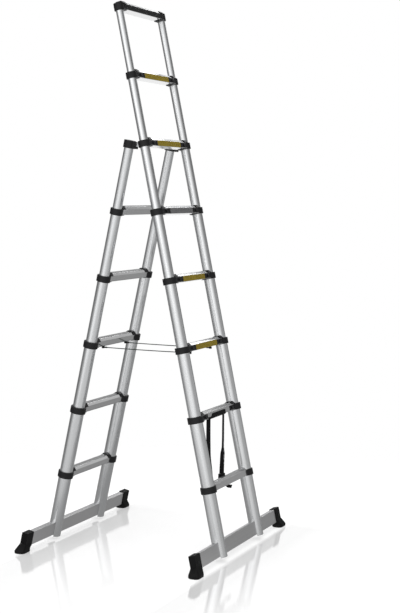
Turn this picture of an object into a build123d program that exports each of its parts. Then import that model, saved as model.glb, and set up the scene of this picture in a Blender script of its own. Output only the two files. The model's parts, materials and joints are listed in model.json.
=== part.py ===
"""Telescopic step ladder: two telescoping sections, hinged together below the top, on stabiliser bars.

Millimetres. X runs along the rungs, the climbing side faces -Y, Z is up, and the origin lies on the floor
midway between the four feet. Each section is drawn in a rail plane of its own: its Z runs up the rails,
its -Y looks out of the ladder, and its origin is on the floor between the two rails.
"""

import os
from math import cos, radians, sin, sqrt, tan

from build123d import *

os.makedirs("parts", exist_ok=True)

# Layout of the two sections
rung_pitch = 290.0
rail_spacing = 390.0
lean = radians(12.1)
lowest_rung = 295.5
front_rungs = 8
rear_rungs = 5

# Telescoping tubes: the top one is the thinnest, and each runs inside the next
top_tube = 32.0
tube_wall = 1.6
tube_clearance = 0.4
tube_overlap = 70.0

# Rungs: a hollow profile with a flat underside, upright faces and a ribbed tread between two shoulders
rung_depth = 40.0
rung_face = 24.5
tread_width = 22.0
tread_rise = 9.5
rung_wall = 2.2
rung_corner = 1.6
channel_height = 20.0
channel_depth = 1.0
rib_count = 5
rib_spacing = 4.0
rib_width = 1.6
rib_height = 0.7
cope_gap = 0.2

# Collars: a ring on the end of each tube, with lips over the rung and a latch plate on its outer face
collar_above = 12.5
collar_wall = 5.5
collar_edge = 1.5
collar_lip = 4.0
collar_seat = 0.1
socket_wall = 2.2
socket_gap = 0.9
socket_below = 0.25
socket_root = 5.0
socket_reach = 12.0
plate_length = 46.0
plate_proud = 0.9
plate_gap = 0.2
cap_top = 4.0

# Release buttons in the latch plates
button_length = 17.0
button_width = 10.0
button_proud = 4.5
button_edge = 1.2
button_gap = 0.3
button_flange = 2.0
flange_thickness = 1.5

# Hinge between the third front rung and the heads of the rear tubes
hinge_rung = 3
front_reach = 41.5
rear_reach = 28.5
head_height = 32.0
cheek_thickness = 7.0
cheek_end = 6.5
tongue_thickness = 14.0
tongue_root = 22.0
tongue_end = 6.5
hinge_gap = 0.4
hinge_floor = 1.2
pin_radius = 3.5
pin_clearance = 0.3
pin_head_radius = 5.5
pin_head = 2.0

# Stabiliser bars through the slotted ends of the lowest tubes
bar_bottom = 24.5
bar_height = 58.0
bar_depth = 22.0
bar_wall = 2.0
bar_corner = 2.0
bar_gap = 0.2
slot_lip = 7.0

# Rubber feet on the ends of the bars
foot_centre = 427.0
boot_length = 50.0
boot_wall = 3.0
boot_end = 4.0
boot_corner = 2.5
boot_gap = 0.1
waist_height = 14.0
rim_offset = 18.0
rim_length = 70.0
rim_depth = 50.0
rim_corner = 20.0
rim_height = 11.0
sole_edge = 4.0
rivet_radius = 3.0
rivet_head_radius = 5.0
rivet_head = 1.6

# Two cables that stop the sections from spreading
cable_rung = 6
cable_offset = 103.0
cable_radius = 2.0
ferrule_radius = 3.4
ferrule_length = 15.0
eye_inset = 7.0
eye_plate = 2.0
eye_length = 18.0
eye_depth = 10.0
eye_boss = 5.0
eye_boss_length = 9.0
eye_sink = 0.4

# Storage strap on the lowest telescoping rung
strap_rung = 7
strap_width = 25.0
strap_thickness = 2.2
strap_left = -72.0
strap_right = 70.0
strap_drop = 300.0
strap_fold = 12.0
strap_gap = 0.3
band_wall = 3.0
band_lap = 12.0
band_inset = 12.0
buckle_width = 36.0
buckle_height = 27.0
buckle_depth = 7.0
buckle_corner = 3.0
buckle_above = 40.0
tail_length = 50.0

# Derived places
tube_step = tube_wall + tube_clearance
collar_below = rung_face / 2 + socket_below + socket_wall
lip_top = rung_face / 2 + tread_rise + socket_gap + socket_wall
half_spacing = rail_spacing / 2
hinge_level = lowest_rung + (front_rungs - hinge_rung) * rung_pitch
rear_hinge_level = hinge_level - (front_reach - rear_reach) * tan(lean)
front_spread = hinge_level * sin(lean) + front_reach * cos(lean)
rear_spread = rear_hinge_level * sin(lean) + rear_reach * cos(lean)
half_spread = (front_spread + rear_spread) / 2

front = Plane(origin=(0, -half_spread, 0), x_dir=(1, 0, 0), z_dir=(0, sin(lean), cos(lean)))
rear = Plane(origin=(0, half_spread, 0), x_dir=(-1, 0, 0), z_dir=(0, -sin(lean), cos(lean)))

rung_points = (
    (-rung_depth / 2, -rung_face / 2),
    (rung_depth / 2, -rung_face / 2),
    (rung_depth / 2, rung_face / 2),
    (tread_width / 2, rung_face / 2 + tread_rise),
    (-tread_width / 2, rung_face / 2 + tread_rise),
    (-rung_depth / 2, rung_face / 2),
)


def front_level(rung):
    """Height along the front rails of a rung, counted from 1 at the top."""
    return lowest_rung + (front_rungs - rung) * rung_pitch


def rear_level(rung):
    """Height along the rear rails of a rung, counted from 1 at the top."""
    return lowest_rung + (rear_rungs - rung) * rung_pitch


def front_radius(stage):
    """Outer radius of a front tube, counted from 1 at the top."""
    return top_tube / 2 + (stage - 1) * tube_step


def rear_radius(stage):
    """Outer radius of a rear tube, counted from 1 at the top: the lowest ones of both sections are alike."""
    return front_radius(stage + front_rungs - 1 - rear_rungs)


def on_rails():
    """Both rail axes, as places in a rail plane."""
    return Locations((-half_spacing, 0), (half_spacing, 0))


def across(section, level, x=0.0):
    """Plane across the rungs: its X points into the ladder, its Y up the rail, its Z along the rungs."""
    origin = section.from_local_coords(Vector(x, 0, level))
    return Plane(origin=origin, x_dir=section.y_dir, z_dir=section.x_dir)


def outer_face(section, level):
    """Plane on the outer face of a rung: its X runs along the rung and its Z looks out of the ladder."""
    origin = section.from_local_coords(Vector(0, -rung_depth / 2, level))
    return Plane(origin=origin, x_dir=section.x_dir, z_dir=-section.y_dir)


def button_places(radius):
    """Places of the two release buttons on a rung, from the radius of its tubes."""
    reach = half_spacing - radius - collar_wall - plate_length / 2
    return Locations((-reach, 0), (reach, 0))


def keep(piece, name):
    """Names a finished piece and writes it."""
    piece.part.label = name
    export_step(piece.part, f"parts/{name}.step")


def make_tubes(name, section, radius, low, high, slotted=False):
    """A pair of tubes. Those of the lowest stage are slotted for the stabiliser bar."""
    with BuildPart() as tubes:
        with BuildSketch(section.offset(low)):
            with on_rails():
                Circle(radius)
                Circle(radius - tube_wall, mode=Mode.SUBTRACT)
        extrude(amount=high - low)
        if slotted:
            with BuildSketch(section.offset(low)):
                Rectangle(rail_spacing + 3 * radius, bar_depth + 2 * bar_gap)
            extrude(amount=bar_bottom + bar_height + bar_gap - low, mode=Mode.SUBTRACT)
    keep(tubes, name)


def make_rung(name, section, level, radius, latched=True):
    """A hollow rung, coped to its collars, with openings for the release buttons."""
    with BuildPart() as rung:
        with BuildSketch(across(section, level)) as profile:
            with BuildLine():
                Polyline(*rung_points, close=True)
            solid_profile = make_face()
            fillet(profile.vertices(), rung_corner)
            offset(solid_profile, amount=-rung_wall, mode=Mode.SUBTRACT)
            with Locations((-rung_depth / 2, 0), (rung_depth / 2, 0)):
                Rectangle(2 * channel_depth, channel_height, mode=Mode.SUBTRACT)
            with Locations((0, rung_face / 2 + tread_rise)):
                with GridLocations(rib_spacing, 0, rib_count, 1):
                    Rectangle(rib_width, 2 * rib_height)
        extrude(amount=half_spacing, both=True)
        with BuildSketch(section.offset(level - rung_face)):
            with on_rails():
                Circle(radius + collar_wall + cope_gap)
        extrude(amount=2 * (rung_face + tread_rise), mode=Mode.SUBTRACT)
        if latched:
            with BuildSketch(outer_face(section, level)):
                with button_places(radius):
                    SlotOverall(button_length + 2 * button_gap, button_width + 2 * button_gap)
            extrude(amount=-2 * rung_wall, mode=Mode.SUBTRACT)
    keep(rung, name)


def make_collars(name, section, pairs):
    """Pairs of collars: rings, lips over the ends of a rung and latch plates, then the bores for the tubes.

    Each pair has its level, the radius of its tubes, that of the tubes that slide in it or None,
    whether it has lips and latch plates, and the height of its closed top.
    """
    hung = (Align.CENTER, Align.MAX)
    lip_offset = socket_gap + socket_wall
    with BuildPart() as collars:
        for level, radius, inner_radius, lips, latched, top in pairs:
            low = level - collar_below
            ring = radius + collar_wall
            # A lip starts where the ring is as wide as the rung, or at its centre where the rung is wider.
            cope = sqrt(max(ring**2 - (rung_depth / 2) ** 2, 0))
            with BuildSketch(section.offset(low)):
                with on_rails():
                    Circle(ring)
            extrude(amount=collar_below + collar_above + top)
            fillet(collars.edges(Select.LAST).filter_by(GeomType.CIRCLE), collar_edge)
            for side in (-1, 1) if lips else ():
                with BuildSketch(across(section, level, side * (half_spacing - cope))):
                    with BuildLine():
                        Polyline(*rung_points, close=True)
                    rung_end = make_face(mode=Mode.PRIVATE)
                    offset(rung_end, amount=lip_offset, kind=Kind.INTERSECTION, mode=Mode.ADD)
                    with Locations((0, collar_above - collar_edge)):
                        Rectangle(4 * rung_depth, 2 * rung_face, align=hung, mode=Mode.SUBTRACT)
                extrude(amount=side * socket_root)
                with BuildSketch(across(section, level, side * (half_spacing - cope + socket_root / 2))):
                    with BuildLine():
                        Polyline(*rung_points, close=True)
                    rung_end = make_face(mode=Mode.PRIVATE)
                    offset(rung_end, amount=lip_offset, kind=Kind.INTERSECTION, mode=Mode.ADD)
                    offset(rung_end, amount=socket_gap, kind=Kind.INTERSECTION, mode=Mode.SUBTRACT)
                    with Locations((0, rung_face / 2)):
                        Rectangle(4 * rung_depth, 2 * rung_face, align=hung, mode=Mode.SUBTRACT)
                    with Locations((0, -collar_below)):
                        Rectangle(rung_depth - 2 * rung_corner, socket_wall, align=(Align.CENTER, Align.MIN))
                extrude(amount=-side * (socket_root / 2 + ring - cope + socket_reach))
            if latched:
                with BuildSketch(outer_face(section, level).offset(collar_seat - channel_depth)):
                    long = plate_length + ring - cope + socket_root
                    reach = half_spacing - ring - plate_length + long / 2
                    with Locations((-reach, 0), (reach, 0)):
                        Rectangle(long, channel_height - 2 * plate_gap)
                    with button_places(radius):
                        SlotOverall(
                            button_length + 2 * button_gap,
                            button_width + 2 * button_gap,
                            mode=Mode.SUBTRACT,
                        )
                extrude(amount=channel_depth - collar_seat + plate_proud)
            if top:
                seat_top = level + collar_above
            elif inner_radius:
                seat_top = level + collar_above - collar_lip
            else:
                seat_top = level + lip_top
            with BuildSketch(section.offset(low)):
                with on_rails():
                    Circle(radius + collar_seat)
            extrude(amount=seat_top - low, mode=Mode.SUBTRACT)
            if inner_radius:
                with BuildSketch(section.offset(low)):
                    with on_rails():
                        Circle(inner_radius + tube_clearance)
                extrude(amount=collar_below + lip_top, mode=Mode.SUBTRACT)
    keep(collars, name)


def make_buttons(name, section, level, radius):
    """The two release buttons of a rung, each with a flange behind the rung's face."""
    with BuildPart() as buttons:
        inside = outer_face(section, level).offset(-rung_wall - button_gap)
        with BuildSketch(inside):
            with button_places(radius):
                SlotOverall(button_length, button_width)
        extrude(amount=rung_wall + button_gap + plate_proud + button_proud)
        outer_rims = buttons.edges().group_by(Axis(inside.origin, inside.z_dir))[-1]
        fillet(outer_rims, button_edge)
        with BuildSketch(inside):
            with button_places(radius):
                SlotOverall(button_length + 2 * button_flange, button_width + 2 * button_flange)
        extrude(amount=-flange_thickness)
    keep(buttons, name)


def make_bar(name, section):
    """A stabiliser bar: a flat box section with a rivet hole near each end."""
    with BuildPart() as bar:
        with BuildSketch(across(section, bar_bottom + bar_height / 2)):
            RectangleRounded(bar_depth, bar_height, bar_corner)
            Rectangle(bar_depth - 2 * bar_wall, bar_height - 2 * bar_wall, mode=Mode.SUBTRACT)
        extrude(amount=foot_centre + boot_length / 2 - boot_end - boot_gap, both=True)
        with BuildSketch(rivet_plane(section)):
            with foot_places():
                Circle(rivet_radius + boot_gap)
        extrude(amount=-2 * (boot_wall + bar_wall), mode=Mode.SUBTRACT)
    keep(bar, name)


def rivet_plane(section):
    """Plane on the outer sides of the boots, at half the height of the bar."""
    side = -bar_depth / 2 - boot_wall
    origin = section.from_local_coords(Vector(0, side, bar_bottom + bar_height / 2))
    return Plane(origin=origin, x_dir=section.x_dir, z_dir=-section.y_dir)


def foot_places():
    """Places of the two feet of a section, along its bar."""
    return Locations((-foot_centre, 0), (foot_centre, 0))


def make_feet(name, section):
    """Rubber boots on both bar ends: a sleeve, a waist and a wide rounded sole flat on the floor."""
    boot_depth = bar_depth + 2 * boot_wall
    floor_point = section.origin
    rim = Plane(origin=floor_point + Vector(0, 0, rim_height), x_dir=section.x_dir, z_dir=(0, 0, 1))
    with BuildPart() as feet:
        with BuildSketch(rim):
            with Locations((-foot_centre - rim_offset, 0), (foot_centre + rim_offset, 0)):
                RectangleRounded(rim_length, rim_depth, rim_corner)
        extrude(amount=-rim_height)
        fillet(feet.edges().group_by(Axis.Z)[0], sole_edge)
        for side in (-1, 1):
            with BuildSketch(across(section, bar_bottom + bar_height / 2, side * foot_centre)):
                RectangleRounded(boot_depth, bar_height + 2 * boot_wall, boot_corner)
            extrude(amount=boot_length / 2, both=True)
            with BuildSketch(section.offset(bar_bottom + waist_height)):
                with Locations((side * foot_centre, 0)):
                    RectangleRounded(boot_length, boot_depth, boot_corner)
            with BuildSketch(rim):
                with Locations((side * (foot_centre + rim_offset), 0)):
                    RectangleRounded(rim_length, rim_depth, rim_corner)
            loft()
        for side in (-1, 1):
            inner_end = side * (foot_centre - boot_length / 2 - 1)
            with BuildSketch(across(section, bar_bottom + bar_height / 2, inner_end)):
                Rectangle(bar_depth + 2 * boot_gap, bar_height + 2 * boot_gap)
            extrude(amount=side * (boot_length - boot_end + 1), mode=Mode.SUBTRACT)
        with BuildSketch(rivet_plane(section)):
            with foot_places():
                Circle(rivet_radius + boot_gap)
        extrude(amount=-boot_wall - bar_wall, mode=Mode.SUBTRACT)
    keep(feet, name)


def make_rivets(name, section):
    """The rivets that hold both boots on the bar."""
    with BuildPart() as rivets:
        with BuildSketch(rivet_plane(section)):
            with foot_places():
                Circle(rivet_head_radius)
        extrude(amount=rivet_head)
        fillet(rivets.edges().group_by(Axis(section.origin, -section.y_dir))[-1], rivet_head / 2)
        with BuildSketch(rivet_plane(section)):
            with foot_places():
                Circle(rivet_radius)
        extrude(amount=-boot_wall - bar_wall)
    keep(rivets, name)


def eye_centre(section, x):
    """Centre of a cable eye's boss, below the inner edge of the rung."""
    level = front_level(cable_rung) - rung_face / 2 - collar_seat - eye_plate - eye_boss + eye_sink
    return section.from_local_coords(Vector(x, rung_depth / 2 - eye_inset, level))


def make_eyes(name, section):
    """The two cable eyes under a rung: a plate with a boss that takes the end of the cable."""
    inner_edge = rung_depth / 2 - eye_inset
    with BuildPart() as eyes:
        with BuildSketch(section.offset(front_level(cable_rung) - rung_face / 2 - collar_seat)):
            with Locations((-cable_offset, inner_edge), (cable_offset, inner_edge)):
                RectangleRounded(eye_length, eye_depth, eye_depth / 4)
        extrude(amount=-eye_plate)
        for x in (-cable_offset, cable_offset):
            with BuildSketch(Plane(origin=eye_centre(section, x), x_dir=(1, 0, 0), z_dir=(0, 1, 0))):
                Circle(eye_boss)
            extrude(amount=eye_boss_length / 2, both=True)
    keep(eyes, name)


# Front section: tubes, rungs, collars and buttons of its seven stages
for stage in range(1, front_rungs):
    top = front_level(stage) + collar_above - (collar_lip if stage > 1 else collar_seat)
    if stage == front_rungs - 1:
        bottom = bar_bottom - slot_lip
    else:
        bottom = front_level(stage + 1) - tube_overlap
    make_tubes(f"front_tube_{stage}", front, front_radius(stage), bottom, top, stage == front_rungs - 1)

for rung in range(1, front_rungs + 1):
    radius = front_radius(min(rung, front_rungs - 1))
    make_rung(f"front_rung_{rung}", front, front_level(rung), radius, 1 < rung < front_rungs)

make_collars(
    "front_top_caps", front, [(front_level(1), front_radius(1), None, True, False, cap_top)]
)
for rung in range(2, front_rungs - 1):
    pair = (front_level(rung), front_radius(rung), front_radius(rung - 1), True, True, 0)
    make_collars(f"front_collars_{rung}", front, [pair])
base = front_rungs - 1
make_collars(
    "front_collars_base",
    front,
    [
        (front_level(base), front_radius(base), front_radius(base - 1), True, True, 0),
        (front_level(base + 1), front_radius(base), None, False, False, 0),
    ],
)

for rung in range(2, front_rungs):
    make_buttons(f"front_buttons_{rung}", front, front_level(rung), front_radius(rung))

# Rear section: tubes, rungs, collars and buttons of its five stages
for stage in range(1, rear_rungs + 1):
    if stage == 1:
        top = rear_hinge_level + head_height / 2 - cap_top - collar_seat
    else:
        top = rear_level(stage - 1) + collar_above - collar_lip
    if stage == rear_rungs:
        bottom = bar_bottom - slot_lip
    else:
        bottom = rear_level(stage) - tube_overlap
    make_tubes(f"rear_tube_{stage}", rear, rear_radius(stage), bottom, top, stage == rear_rungs)

for rung in range(1, rear_rungs + 1):
    radius = rear_radius(min(rung + 1, rear_rungs))
    make_rung(f"rear_rung_{rung}", rear, rear_level(rung), radius, rung < rear_rungs)

for rung in range(1, rear_rungs - 1):
    pair = (rear_level(rung), rear_radius(rung + 1), rear_radius(rung), True, True, 0)
    make_collars(f"rear_collars_{rung}", rear, [pair])
base = rear_rungs
make_collars(
    "rear_collars_base",
    rear,
    [
        (rear_level(base - 1), rear_radius(base), rear_radius(base - 1), True, True, 0),
        (rear_level(base), rear_radius(base), None, True, False, 0),
    ],
)

for rung in range(1, rear_rungs):
    make_buttons(f"rear_buttons_{rung}", rear, rear_level(rung), rear_radius(rung + 1))

# Hinge heads: closed caps on the rear tubes, each with two cheeks for the pin
head_low = rear_hinge_level - head_height / 2
cheek_outside = tongue_thickness / 2 + hinge_gap + cheek_thickness
with BuildPart() as heads:
    with BuildSketch(rear.offset(head_low)):
        with on_rails():
            Circle(rear_radius(1) + collar_wall)
    extrude(amount=head_height)
    fillet(heads.edges().filter_by(GeomType.CIRCLE), collar_edge)
    for side in (-1, 1):
        with BuildSketch(across(rear, rear_hinge_level, side * half_spacing)):
            with Locations((rear_reach + cheek_end, 0)):
                Rectangle(
                    rear_reach + cheek_end,
                    head_height - 2 * collar_edge,
                    align=(Align.MAX, Align.CENTER),
                )
        extrude(amount=cheek_outside, both=True)
    with BuildSketch(rear.offset(head_low - 1)):
        for side in (-1, 1):
            with Locations((side * half_spacing, rear_radius(1) + collar_seat + hinge_floor)):
                Rectangle(
                    tongue_thickness + 2 * hinge_gap, 2 * rear_reach, align=(Align.CENTER, Align.MIN)
                )
    extrude(amount=head_height + 2, mode=Mode.SUBTRACT)
    with BuildSketch(rear.offset(head_low)):
        with on_rails():
            Circle(rear_radius(1) + collar_seat)
    extrude(amount=head_height - cap_top, mode=Mode.SUBTRACT)
    with BuildSketch(across(rear, rear_hinge_level)):
        with Locations((rear_reach, 0)):
            Circle(pin_radius + collar_seat)
    extrude(amount=rail_spacing, both=True, mode=Mode.SUBTRACT)
keep(heads, "rear_hinge_heads")

# Hinge tongues: metal lugs on the back of the front collars, between the cheeks of the heads
with BuildPart() as tongues:
    ring = front_radius(hinge_rung) + collar_wall
    for side in (-1, 1):
        with BuildSketch(across(front, hinge_level, side * half_spacing)):
            with BuildLine():
                Polyline(
                    (ring - tongue_end, -tongue_root / 2),
                    (front_reach, -tongue_end),
                    (front_reach, tongue_end),
                    (ring - tongue_end, tongue_root / 2),
                    close=True,
                )
            make_face()
            with Locations((front_reach, 0)):
                Circle(tongue_end)
                Circle(pin_radius + pin_clearance, mode=Mode.SUBTRACT)
        extrude(amount=tongue_thickness / 2, both=True)
    with BuildSketch(front.offset(hinge_level - tongue_root)):
        with on_rails():
            Circle(ring + collar_seat)
    extrude(amount=2 * tongue_root, mode=Mode.SUBTRACT)
keep(tongues, "hinge_tongues")

# Hinge pins, with a head outside each cheek
with BuildPart() as pins:
    for side in (-1, 1):
        middle = across(front, hinge_level, side * half_spacing)
        with BuildSketch(middle):
            with Locations((front_reach, 0)):
                Circle(pin_radius)
        extrude(amount=cheek_outside + pin_head, both=True)
        for end in (-1, 1):
            with BuildSketch(middle.offset(end * (cheek_outside + collar_seat))):
                with Locations((front_reach, 0)):
                    Circle(pin_head_radius)
            extrude(amount=end * pin_head)
keep(pins, "hinge_pins")

# Stabiliser bars, feet and rivets
for name, section in (("front", front), ("rear", rear)):
    make_bar(f"{name}_bar", section)
    make_feet(f"{name}_feet", section)
    make_rivets(f"{name}_rivets", section)

# Spreader cables between the eyes, with a ferrule at each end
make_eyes("front_cable_eyes", front)
make_eyes("rear_cable_eyes", rear)
with BuildPart() as cables:
    for x in (-cable_offset, cable_offset):
        start = eye_centre(front, x) + Vector(0, eye_boss_length / 2, 0)
        end = eye_centre(rear, -x) - Vector(0, eye_boss_length / 2, 0)
        near = Plane(origin=start, x_dir=(1, 0, 0), z_dir=(0, 1, 0))
        with BuildSketch(near):
            Circle(cable_radius)
        extrude(amount=(end - start).length)
        with BuildSketch(near):
            Circle(ferrule_radius)
        extrude(amount=ferrule_length)
        with BuildSketch(near.offset((end - start).length)):
            Circle(ferrule_radius)
        extrude(amount=-ferrule_length)
keep(cables, "spreader_cables")

# Storage strap: a folded band under the rung, and a loop with a buckle that hangs from it
strap_level = front_level(strap_rung)
underside = -rung_face / 2 - strap_gap
face = -rung_depth / 2 - strap_gap
hang = front.from_local_coords(Vector(0, 0, strap_level + underside - band_wall / 2))
with BuildPart() as strap:
    with BuildSketch(across(front, strap_level, strap_left - strap_width / 2)):
        with BuildLine():
            Polyline(
                (face - band_wall, underside - band_wall),
                (rung_depth / 2 - band_inset, underside - band_wall),
                (rung_depth / 2 - band_inset, underside),
                (face, underside),
                (face, underside + band_lap),
                (face - band_wall, underside + band_lap),
                close=True,
            )
        make_face()
    extrude(amount=strap_right - strap_left + strap_width)
    with BuildSketch(Plane(origin=hang, x_dir=(1, 0, 0), z_dir=(0, -1, 0))) as loop:
        with Locations(((strap_left + strap_right) / 2, 0)):
            Rectangle(
                strap_right - strap_left + strap_width, strap_drop, align=(Align.CENTER, Align.MAX)
            )
        chamfer(loop.vertices().group_by(Axis.Y)[0], strap_fold)
        with Locations(((strap_left + strap_right) / 2, 0)):
            Rectangle(
                strap_right - strap_left - strap_width,
                strap_drop - strap_width,
                align=(Align.CENTER, Align.MAX),
                mode=Mode.SUBTRACT,
            )
        with BuildLine():
            Polyline(
                (strap_right - strap_width / 2, -strap_drop),
                (strap_right + tail_length, -strap_drop - strap_width),
                (strap_right + tail_length, -strap_drop),
                (strap_right, -strap_drop + strap_width),
                close=True,
            )
        make_face()
    extrude(amount=strap_thickness / 2, both=True)
    with BuildSketch(Plane(origin=hang, x_dir=(1, 0, 0), z_dir=(0, -1, 0))):
        with Locations((strap_right, buckle_above - strap_drop)):
            RectangleRounded(buckle_width, buckle_height, buckle_corner)
    extrude(amount=buckle_depth / 2, both=True)
keep(strap, "storage_strap")
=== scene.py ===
# %% [markdown]
# # Dressing a telescopic step ladder
#
# The ladder is a free-standing A-frame of two telescoping sections. The engineering model already holds
# every tube, rung, collar, button and hinge at its real size. In this lesson we load that model as a fixed
# frame, give each surface the finish of the real thing, and model by hand what is soft or only skin deep:
# the wire rope, the storage strap and the grip strips.

# %% Load the frame
import bisect
import json
import math

import bmesh
import bpy
from mathutils import Matrix, Vector


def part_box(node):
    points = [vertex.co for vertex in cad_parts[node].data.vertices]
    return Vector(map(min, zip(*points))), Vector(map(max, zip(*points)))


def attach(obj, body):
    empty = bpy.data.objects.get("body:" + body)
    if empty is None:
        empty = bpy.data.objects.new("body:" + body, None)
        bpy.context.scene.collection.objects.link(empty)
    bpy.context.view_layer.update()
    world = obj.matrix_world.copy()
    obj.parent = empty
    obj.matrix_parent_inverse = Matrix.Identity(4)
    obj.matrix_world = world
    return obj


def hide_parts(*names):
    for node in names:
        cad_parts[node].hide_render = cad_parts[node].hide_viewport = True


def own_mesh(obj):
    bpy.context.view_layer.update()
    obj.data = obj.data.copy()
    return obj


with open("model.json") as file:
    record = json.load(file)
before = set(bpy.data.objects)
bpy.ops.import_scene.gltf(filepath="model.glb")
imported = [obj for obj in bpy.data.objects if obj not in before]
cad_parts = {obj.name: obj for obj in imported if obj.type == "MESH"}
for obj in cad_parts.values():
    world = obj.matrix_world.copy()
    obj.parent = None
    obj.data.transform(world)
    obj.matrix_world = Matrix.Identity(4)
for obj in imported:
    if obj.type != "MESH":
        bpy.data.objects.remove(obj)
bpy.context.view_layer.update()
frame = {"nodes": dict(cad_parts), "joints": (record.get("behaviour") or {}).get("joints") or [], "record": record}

# %% [markdown]
# ## Where things are
#
# Most new pieces sit on the climbing section, and we read its lean from a joint: a stage slides along its
# own rails. The plane of these rails has its X along the rungs, its Y into the ladder and its Z up the
# rails. A piece that is modelled flat in this plane only needs one matrix to reach its place on the ladder.

# %% Rail plane
MM = 0.001
rung_pitch = 290 * MM
lowest_rung = 295.5 * MM
front_count = 8
half_spread = 399.82 * MM

joints = {joint["name"]: joint for joint in frame["joints"]}
rail = Vector(joints["front_slide_1"]["axis"])
lean = math.atan2(rail.y, rail.z)
along_rungs = Vector((1, 0, 0))
up_rails = Vector((0, math.sin(lean), math.cos(lean)))
into_ladder = up_rails.cross(along_rungs)
rail_turn = Matrix((along_rungs, into_ladder, up_rails)).transposed().to_4x4()
front_plane = Matrix.Translation((0, -half_spread, 0)) @ rail_turn


def front_level(rung):
    """Height along the front rails of a rung, counted from 1 at the top."""
    return lowest_rung + (front_count - rung) * rung_pitch


print("lean", round(math.degrees(lean), 2), "degrees, half spread", round(half_spread, 4), "m")

# %% [markdown]
# ## The camera
#
# The picture was taken from well to the left of the climbing side, from a little over half the ladder's
# height, with a long lens. Its place and turn came from matching collars, tube ends and feet. The lens is
# given as a focal length in pixels of the 400 by 613 frame, and the picture was cropped, so the lens axis
# meets it a little left of and above its middle: that is the lens shift.

# %% Camera
frame_height_px = 613
focal_px = 1315.022
axis_left_px = 16.928
axis_above_px = 54.725
camera_place = Vector((-5.05953, -2.52951, 1.50976))
camera_yaw = math.radians(64.55925)
camera_pitch = math.radians(-2.63912)
camera_roll = math.radians(0.38299)

forward = Vector((
    math.sin(camera_yaw) * math.cos(camera_pitch),
    math.cos(camera_yaw) * math.cos(camera_pitch),
    math.sin(camera_pitch),
))
level_right = Vector((math.cos(camera_yaw), -math.sin(camera_yaw), 0))
level_up = level_right.cross(forward)
right = math.cos(camera_roll) * level_right + math.sin(camera_roll) * level_up
up = math.cos(camera_roll) * level_up - math.sin(camera_roll) * level_right

lens = bpy.data.cameras.new("portrait_camera")
camera = bpy.data.objects.new("portrait_camera", lens)
bpy.context.collection.objects.link(camera)
camera.matrix_world = Matrix.Translation(camera_place) @ Matrix((right, up, -forward)).transposed().to_4x4()
lens.sensor_width = 36
lens.lens = focal_px / frame_height_px * lens.sensor_width
lens.shift_x = axis_left_px / frame_height_px
lens.shift_y = -axis_above_px / frame_height_px
lens.clip_start = 0.05
bpy.context.scene.camera = camera
print("camera: lens", round(lens.lens, 2), "mm")

# %% [markdown]
# ## Small modelling tools
#
# Operators act on everything that is selected, and the loaded frame is selected, so every new primitive
# starts from an empty selection. The first helpers select, pick faces by a test, apply a modifier, and move
# a finished mesh to its place, so that the object itself stays at the origin.

# %% Selecting and settling
print("selected after loading:", len(bpy.context.selected_objects), "objects")


def deselect():
    """Leaves edit mode and selects nothing."""
    if bpy.context.mode != "OBJECT":
        bpy.ops.object.mode_set(mode="OBJECT")
    bpy.ops.object.select_all(action="DESELECT")


def activate(piece):
    """Makes one object the only selected and the active one."""
    deselect()
    piece.select_set(True)
    bpy.context.view_layer.objects.active = piece


def add_primitive(kind, name, **size):
    """Adds one mesh primitive by its operator and names it."""
    deselect()
    getattr(bpy.ops.mesh, f"primitive_{kind}_add")(**size)
    piece = bpy.context.object
    piece.name = name
    piece.data.name = name
    return piece


def pick_faces(piece, test):
    """Enters edit mode with only the faces that pass a test selected, and says how many."""
    activate(piece)
    bpy.ops.object.mode_set(mode="EDIT")
    bpy.ops.mesh.select_mode(type="FACE")
    bpy.ops.mesh.select_all(action="DESELECT")
    net = bmesh.from_edit_mesh(piece.data)
    chosen = [face for face in net.faces if test(face)]
    for face in chosen:
        face.select_set(True)
    bmesh.update_edit_mesh(piece.data)
    return len(chosen)


def apply_modifier(piece, kind, **settings):
    """Adds a modifier with its settings and applies it."""
    activate(piece)
    modifier = piece.modifiers.new(kind.title(), kind)
    for key, value in settings.items():
        setattr(modifier, key, value)
    bpy.ops.object.modifier_apply(modifier=modifier.name)


def settle(piece, place=Matrix.Identity(4), sharp=35):
    """Puts the place into the mesh, and shades smooth across edges flatter than the given angle."""
    activate(piece)
    piece.data.transform(place @ piece.matrix_world)
    piece.matrix_world = Matrix.Identity(4)
    bpy.ops.object.shade_smooth_by_angle(angle=math.radians(sharp))


# %% [markdown]
# Rope, webbing, ferrules and strips are all long shapes, so one start serves them: a grid of quads that is
# bent to its form, and closed into a shell where the real piece is solid.

# %% Grids and shells


def shaped_grid(name, across, along, place):
    """A grid of quads with corners where place(u, v) says: u goes across it and v along it, from 0 to 1."""
    sheet = add_primitive("grid", name, x_subdivisions=across, y_subdivisions=along, size=1)
    for corner in sheet.data.vertices:
        corner.co = place(corner.co.x + 0.5, corner.co.y + 0.5)
    return sheet


def close_shell(piece):
    """Merges the seam of a rolled grid, closes its ends and points its faces outwards."""
    activate(piece)
    bpy.ops.object.mode_set(mode="EDIT")
    bpy.ops.mesh.select_all(action="SELECT")
    bpy.ops.mesh.remove_doubles(threshold=1e-6)
    bpy.ops.mesh.fill_holes(sides=0)
    bpy.ops.mesh.normals_make_consistent(inside=False)
    bpy.ops.object.mode_set(mode="OBJECT")


def rolled_bar(name, outline, start, end):
    """A bar along X with a closed outline of (y, z) points."""
    count = len(outline)

    def place(u, v):
        y, z = outline[round(u * count) % count]
        return Vector((start + (end - start) * v, y, z))

    bar = shaped_grid(name, count, 1, place)
    close_shell(bar)
    return bar


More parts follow.
